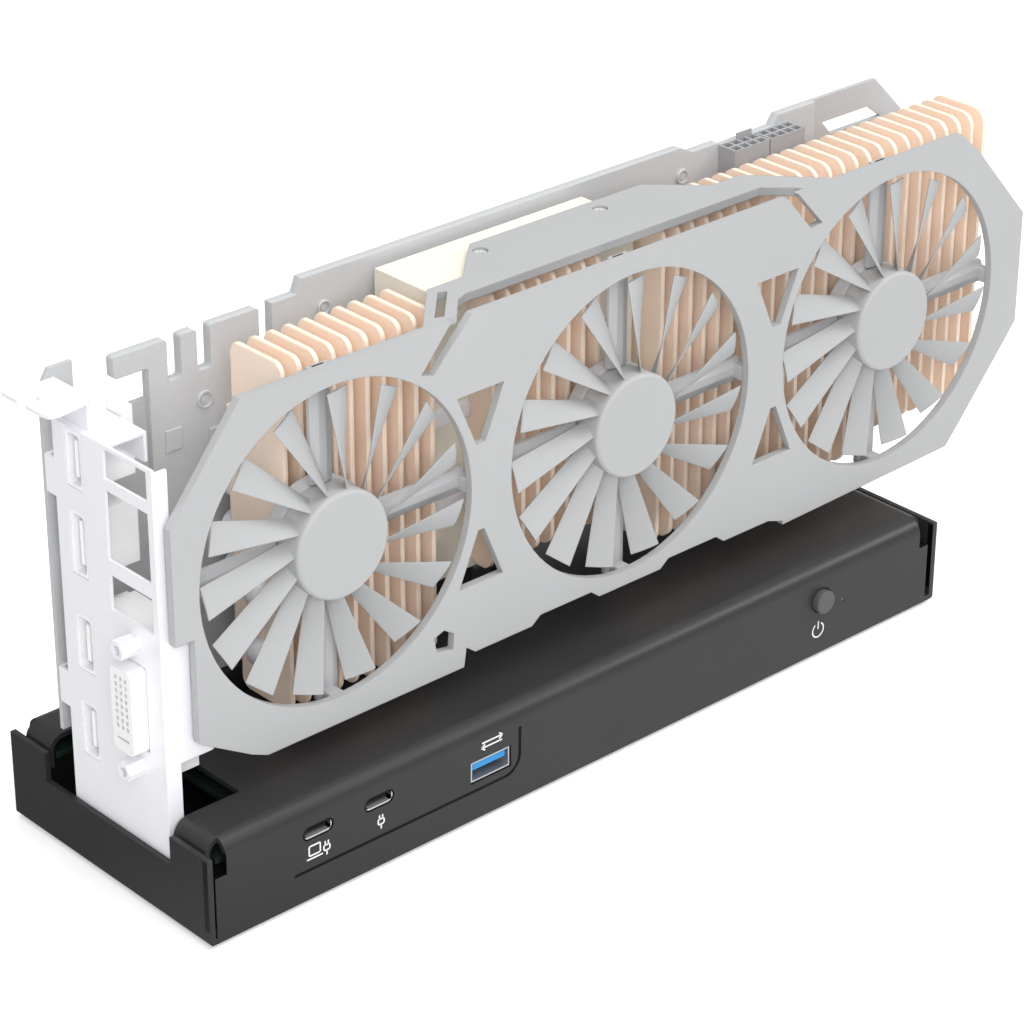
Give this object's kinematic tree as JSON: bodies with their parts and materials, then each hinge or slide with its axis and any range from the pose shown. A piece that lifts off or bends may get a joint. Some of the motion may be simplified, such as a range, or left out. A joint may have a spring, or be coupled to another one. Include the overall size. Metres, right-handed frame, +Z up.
{
  "type": "external graphics card dock",
  "caption": "Low folded-sheet dock with front sockets and a power button, holding an upright graphics card with finned cooler, round fans and a folded bracket.",
  "frame": {"origin": "on the resting plane, under the middle of the whole part's bounding box", "axes": "+X along the dock away from the card's bracket, -Y towards the front sockets and the fans, +Z up"},
  "size_m": [0.3152, 0.0842, 0.1341],
  "materials": {
    "steel_black": "fine satin powder coat",
    "rubber": "matte",
    "screw": "satin",
    "brass_post": "satin",
    "board_dark": "solder mask",
    "chip": "matte",
    "steel_inner": "satin",
    "port_shell": "satin",
    "tongue": "satin",
    "button": "satin",
    "clear": "frosted",
    "socket_black": "matte",
    "slot_plastic": "matte",
    "latch_plastic": "matte",
    "card_board": "satin",
    "back_plate": "satin",
    "bracket": "satin",
    "pin_plastic": "satin",
    "fins": "satin",
    "heat_block": "satin",
    "copper_pipe": "satin",
    "package": "matte",
    "power_socket": "matte",
    "shroud": "satin",
    "fan_frame": "satin",
    "fan": "satin"
  },
  "bodies": {
    "dock_and_card": {"base_tray": "steel_black", "top_cover": "steel_black", "rubber_feet": "rubber", "cover_screws": "screw", "board_posts": "brass_post", "board_screws": "screw", "main_board": "board_dark", "controller_chip": "chip", "bracket_guide": "steel_inner", "oval_port_1": "port_shell", "oval_port_2": "port_shell", "wide_port": "port_shell", "wide_port_tongue": "tongue", "button_switch": "chip", "light_pipe": "clear", "power_inlet": "socket_black", "card_slot": "slot_plastic", "card_board": "card_board", "back_plate": "back_plate", "bracket": "bracket", "bracket_screws": "screw", "video_port_1": "port_shell", "video_port_2": "port_shell", "video_port_3": "port_shell", "video_port_4": "port_shell", "pin_connector": "pin_plastic", "connector_posts": "screw", "fins_left": "fins", "fins_middle": "fins", "fins_right": "fins", "heat_block": "heat_block", "heat_pipe_1": "copper_pipe", "heat_pipe_2": "copper_pipe", "heat_pipe_3": "copper_pipe", "heat_pipe_4": "copper_pipe", "chip_package": "package", "cooler_screws": "screw", "power_socket_1": "power_socket", "power_socket_2": "power_socket", "fan_shroud": "shroud", "shroud_screws": "screw", "fan_frame_1": "fan_frame", "fan_frame_2": "fan_frame", "fan_frame_3": "fan_frame"},
    "power_button": {"power_button": "button"},
    "slot_latch": {"slot_latch": "latch_plastic"},
    "fan_1": {"fan_1": "fan"},
    "fan_2": {"fan_2": "fan"},
    "fan_3": {"fan_3": "fan"}
  },
  "joints": [
    {"name": "fan_1_spin", "type": "hinge", "parent": "dock_and_card", "child": "fan_1", "pos_m": [-0.09385, -0.01815, 0.08613], "axis": [0, 1, 0], "continuous": true},
    {"name": "fan_2_spin", "type": "hinge", "parent": "dock_and_card", "child": "fan_2", "pos_m": [0.00445, -0.01815, 0.08613], "axis": [0, 1, 0], "continuous": true},
    {"name": "fan_3_spin", "type": "hinge", "parent": "dock_and_card", "child": "fan_3", "pos_m": [0.10275, -0.01815, 0.08613], "axis": [0, 1, 0], "continuous": true},
    {"name": "power_button_press", "type": "slide", "parent": "dock_and_card", "child": "power_button", "axis": [0, 1, 0], "range_m": [0, 0.0008], "stiffness_N_per_m": 400, "springref_m": -0.0008},
    {"name": "slot_latch_pivot", "type": "hinge", "parent": "dock_and_card", "child": "slot_latch", "pos_m": [-0.01185, 0.01865, 0.02653], "axis": [0, 1, 0], "range_deg": [0, 25]}
  ]
}
